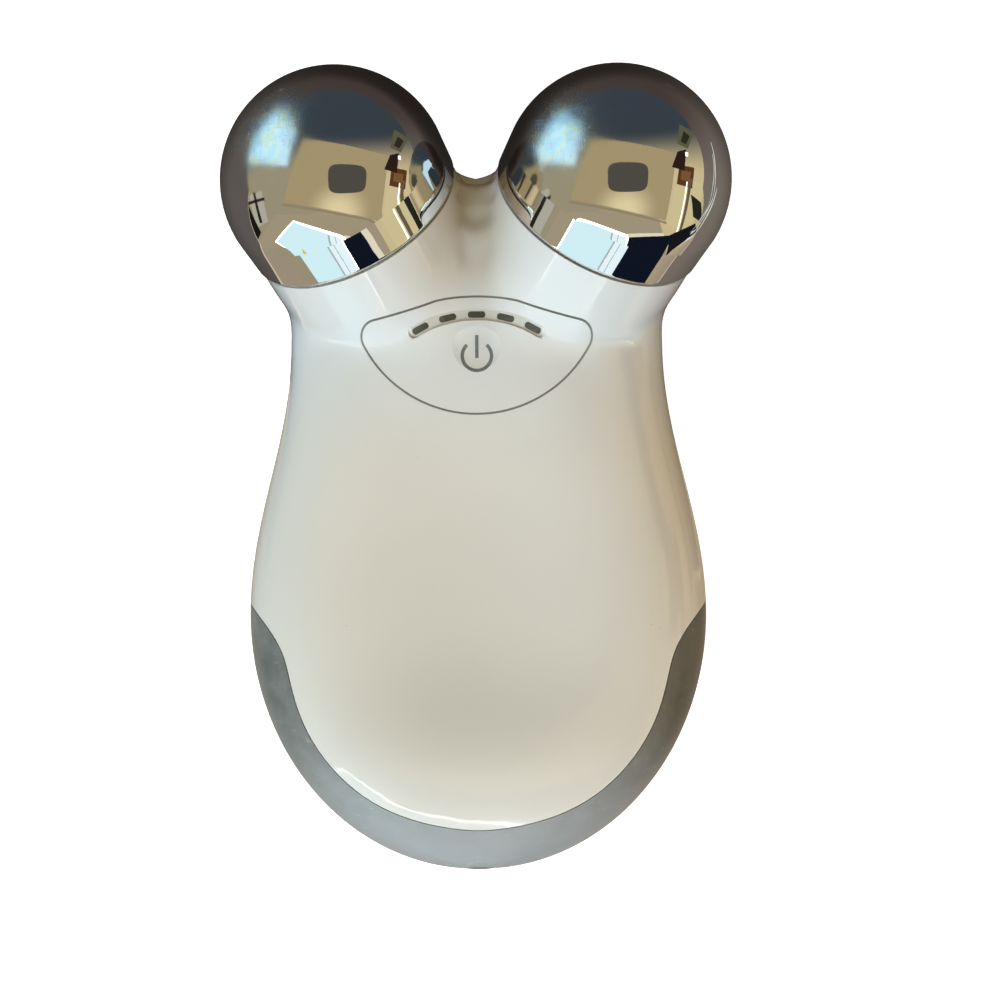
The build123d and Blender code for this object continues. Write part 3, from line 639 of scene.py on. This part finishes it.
def reflected_room():
    """What a ball sees: ceiling, walls, a window with a drape, dim furniture and the table."""
    room_shell()
    table()
    clear_bag()
    patch("near_wall", [(-62, -38), (40, -42), (62, -84), (-100, -70)], (0.42, 0.36, 0.24))
    patch("ceiling", [(-50, -26), (50, -47), (56, 20), (-28, 34)], ceiling_paint(), layer=2)
    patch("cornice", [(-51, -27), (51, -48), (52, -50.5), (-53, -29.5)], (0.34, 0.28, 0.17), layer=3)
    patch("right_wall", [(52, -50), (84, -62), (92, -6), (57, -2)], (0.74, 0.63, 0.36), layer=2)
    patch("door_edge", [(66, -58), (67.5, -58.5), (71, -2), (69.5, -2)], (0.95, 0.86, 0.66), 2.4, layer=3)
    patch("door_gap", [(69, -59), (72, -60), (76, -3), (72, -2)], (0.16, 0.12, 0.07), layer=3)
    patch("window_frame", [(-42, -45), (12, -64), (14, -124), (-70, -66)], (0.96, 0.97, 0.94), 5.0, layer=3)
    patch("window_pane", [(-42, -46.6), (-6, -60.4), (-6, -122), (-67, -66)], (0.68, 0.94, 1.0), 1.15,
          layer=4)
    patch("window_side", [(-5, -61), (10, -66), (12, -123), (-4, -122)], (0.80, 0.95, 1.0), 1.2, layer=4)
    patch("window_bar", [(-7, -61), (-5, -61.5), (-4, -122), (-6, -122)], (0.50, 0.56, 0.58), layer=5)
    patch("pane_line", [(0, -63), (0.8, -63.3), (2.8, -122), (2, -122)], (0.42, 0.50, 0.54), layer=5)
    patch("sill_plant", [(-38, -76), (-33, -80), (-34, -84), (-39, -79)], (0.95, 0.62, 0.10), layer=5)
    patch("drape", [(12, -66), (62, -62), (52, -108), (6, -134)], (0.006, 0.009, 0.020), layer=5)
    patch("drape_edge", [(10, -62), (50, -60), (52, -63), (11, -66)], (0.90, 0.84, 0.66), layer=6)
    patch("drape_end", [(58, -62), (90, -46), (96, -54), (62, -84)], (0.010, 0.010, 0.012), layer=5)
    patch("shelf", [(-92, -14), (-74, -12), (-72, -44), (-90, -48)], (0.50, 0.48, 0.40), layer=3)
    patch("chair", [(-112, -22), (-96, -20), (-86, -54), (-100, -64)], (0.012, 0.011, 0.010), layer=4)
    patch("chair_post", [(-86, -12), (-83, -12), (-80, -44), (-84, -44)], (0.02, 0.018, 0.015), layer=5)
    patch("chair_rail", [(-96, -20), (-72, -19), (-72, -22), (-95, -23)], (0.02, 0.018, 0.015), layer=5)
    patch("picture", [(58, -10), (77, -12), (78, 9), (60, 9)], (0.12, 0.045, 0.018), layer=3)
    patch("picture_mount", [(62, -5), (73, -6), (74, 4), (63, 4)], (0.22, 0.11, 0.04), layer=4)
    patch("picture_top", [(52, 6), (66, 4), (68, 26), (58, 22)], (0.030, 0.015, 0.012), layer=4)
    patch("plant", [(58, 30), (70, 27), (78, 46), (62, 52)], (0.12, 0.12, 0.07), layer=3)
    patch("plant_shade", [(62, 33), (68, 31), (73, 41), (66, 45)], (0.03, 0.03, 0.02), layer=4)
    patch("wall_lamp", [(67, 19), (70, 19), (70, 23), (67, 23)], (1.0, 0.9, 0.6), 3.0, layer=5)
    patch("bag", [(76, -18), (92, -24), (100, -44), (84, -40)], (0.02, 0.022, 0.018), layer=4)
    patch("glare", [(-96, 22), (-44, 8), (-36, 44), (-66, 88)], (0.60, 0.88, 1.0), 1.25, layer=6)
    reach = Vector(camera_back_half) * MM
    at = balls_middle + Vector(camera_back_at) * MM
    rim = []
    for k in range(48):
        turn = 2 * pi * k / 48
        u, v = [abs(wave) ** camera_back_bend * (1 if wave > 0 else -1) for wave in (cos(turn), sin(turn))]
        rim.append(at + Vector((u * reach.x, v * reach.y, 0)))
    card("camera_back", rim, [tuple(range(48))], glow("camera_tone", (0.090, 0.084, 0.070)))


def lamp(name, at, colour, power):
    """A large soft lamp that points at the body and shows in no reflection."""
    data = bpy.data.lights.new(name, "AREA")
    data.shape = "RECTANGLE"
    data.size, data.size_y = lamp_size, lamp_size
    data.color = colour
    data.energy = power
    made = bpy.data.objects.new(name, data)
    made.location = at
    made.rotation_euler = (Vector(lamp_aim) - Vector(at)).to_track_quat("-Z", "Y").to_euler()
    made.visible_camera = False
    made.visible_glossy = False
    bpy.context.scene.collection.objects.link(made)


def seen_directly(f):
    """1 for the camera's own rays and for what metal or glass shows, 0 for light that scatters."""
    seen = f.node("ShaderNodeLightPath", output="Is Camera Ray")
    seen = seen.math("MAXIMUM", seen, f.node("ShaderNodeLightPath", output="Is Glossy Ray"))
    return seen.math("MAXIMUM", seen, f.node("ShaderNodeLightPath", output="Is Transmission Ray"))


def white_floor():
    """Looks white where nothing shades it and keeps the soft shadow, but throws little light back."""
    mesh = bpy.data.meshes.new("floor")
    half = floor_size / 2
    mesh.from_pydata([(-half, -half, 0), (half, -half, 0), (half, half, 0), (-half, half, 0)], [],
                     [(0, 1, 2, 3)])
    f = Finish("floor_white")
    f.set(Base_Color=(0.86, 0.86, 0.86), Roughness=0.9, Specular_IOR_Level=0.0, Emission_Color=(1, 1, 1),
          Emission_Strength=floor_glow)
    dull = f.node("ShaderNodeBsdfDiffuse", None, {"Color": (0.22, 0.20, 0.18)})
    white = Signal(f, f.shader.outputs["BSDF"])
    mixed = f.node("ShaderNodeMixShader", None, [seen_directly(f), dull, white])
    f.feed(f.tree.nodes["Material Output"].inputs["Surface"], mixed)
    mesh.materials.append(f.material)
    floor = bpy.data.objects.new("floor", mesh)
    floor.location.z = -floor_drop
    bpy.context.scene.collection.objects.link(floor)
    floor.visible_glossy = False


def white_world():
    """White to the camera and in reflections; a dim warm light for everything else."""
    world = bpy.data.worlds.new("studio")
    bpy.context.scene.world = world
    world.use_nodes = True
    f = Finish.over(world.node_tree)
    room = f.node("ShaderNodeBackground", None, {"Color": (1.0, 0.74, 0.32), "Strength": room_light})
    white = f.node("ShaderNodeBackground", None, {"Color": (1, 1, 1)})
    mixed = f.node("ShaderNodeMixShader", None, [seen_directly(f), room, white])
    f.node("ShaderNodeOutputWorld", None, [mixed])


def camera():
    data = bpy.data.cameras.new("camera")
    data.sensor_width = 36
    data.lens = camera_lens
    data.shift_x, data.shift_y = camera_shift
    data.clip_start = 0.01
    data.dof.use_dof = False
    made = bpy.data.objects.new("camera", data)
    made.location = (*camera_at, camera_height)
    made.rotation_euler = (0, 0, camera_roll)
    bpy.context.scene.collection.objects.link(made)
    bpy.context.scene.camera = made


def studio():
    white_floor()
    white_world()
    reflected_room()
    lamp("window_light", (-0.55, -0.55, 0.56), (0.74, 0.96, 1.0), 5.6)
    lamp("low_window_light", (0.27, -0.85, 0.34), (0.60, 0.68, 1.0), 3.8)
    lamp("warm_fill", (0.82, 0.02, 0.42), (1.0, 0.76, 0.44), 0.9)
    lamp("left_light", (-0.64, 0.45, 0.56), (0.40, 0.50, 1.0), 1.8)
    lamp("left_low_light", (-0.95, 0.05, 0.25), (0.22, 0.64, 1.0), 1.35)


finish_cad_nodes()
power_symbol()
panel_seam()
studio()
camera()
bpy.context.scene.view_settings.view_transform = "Standard"
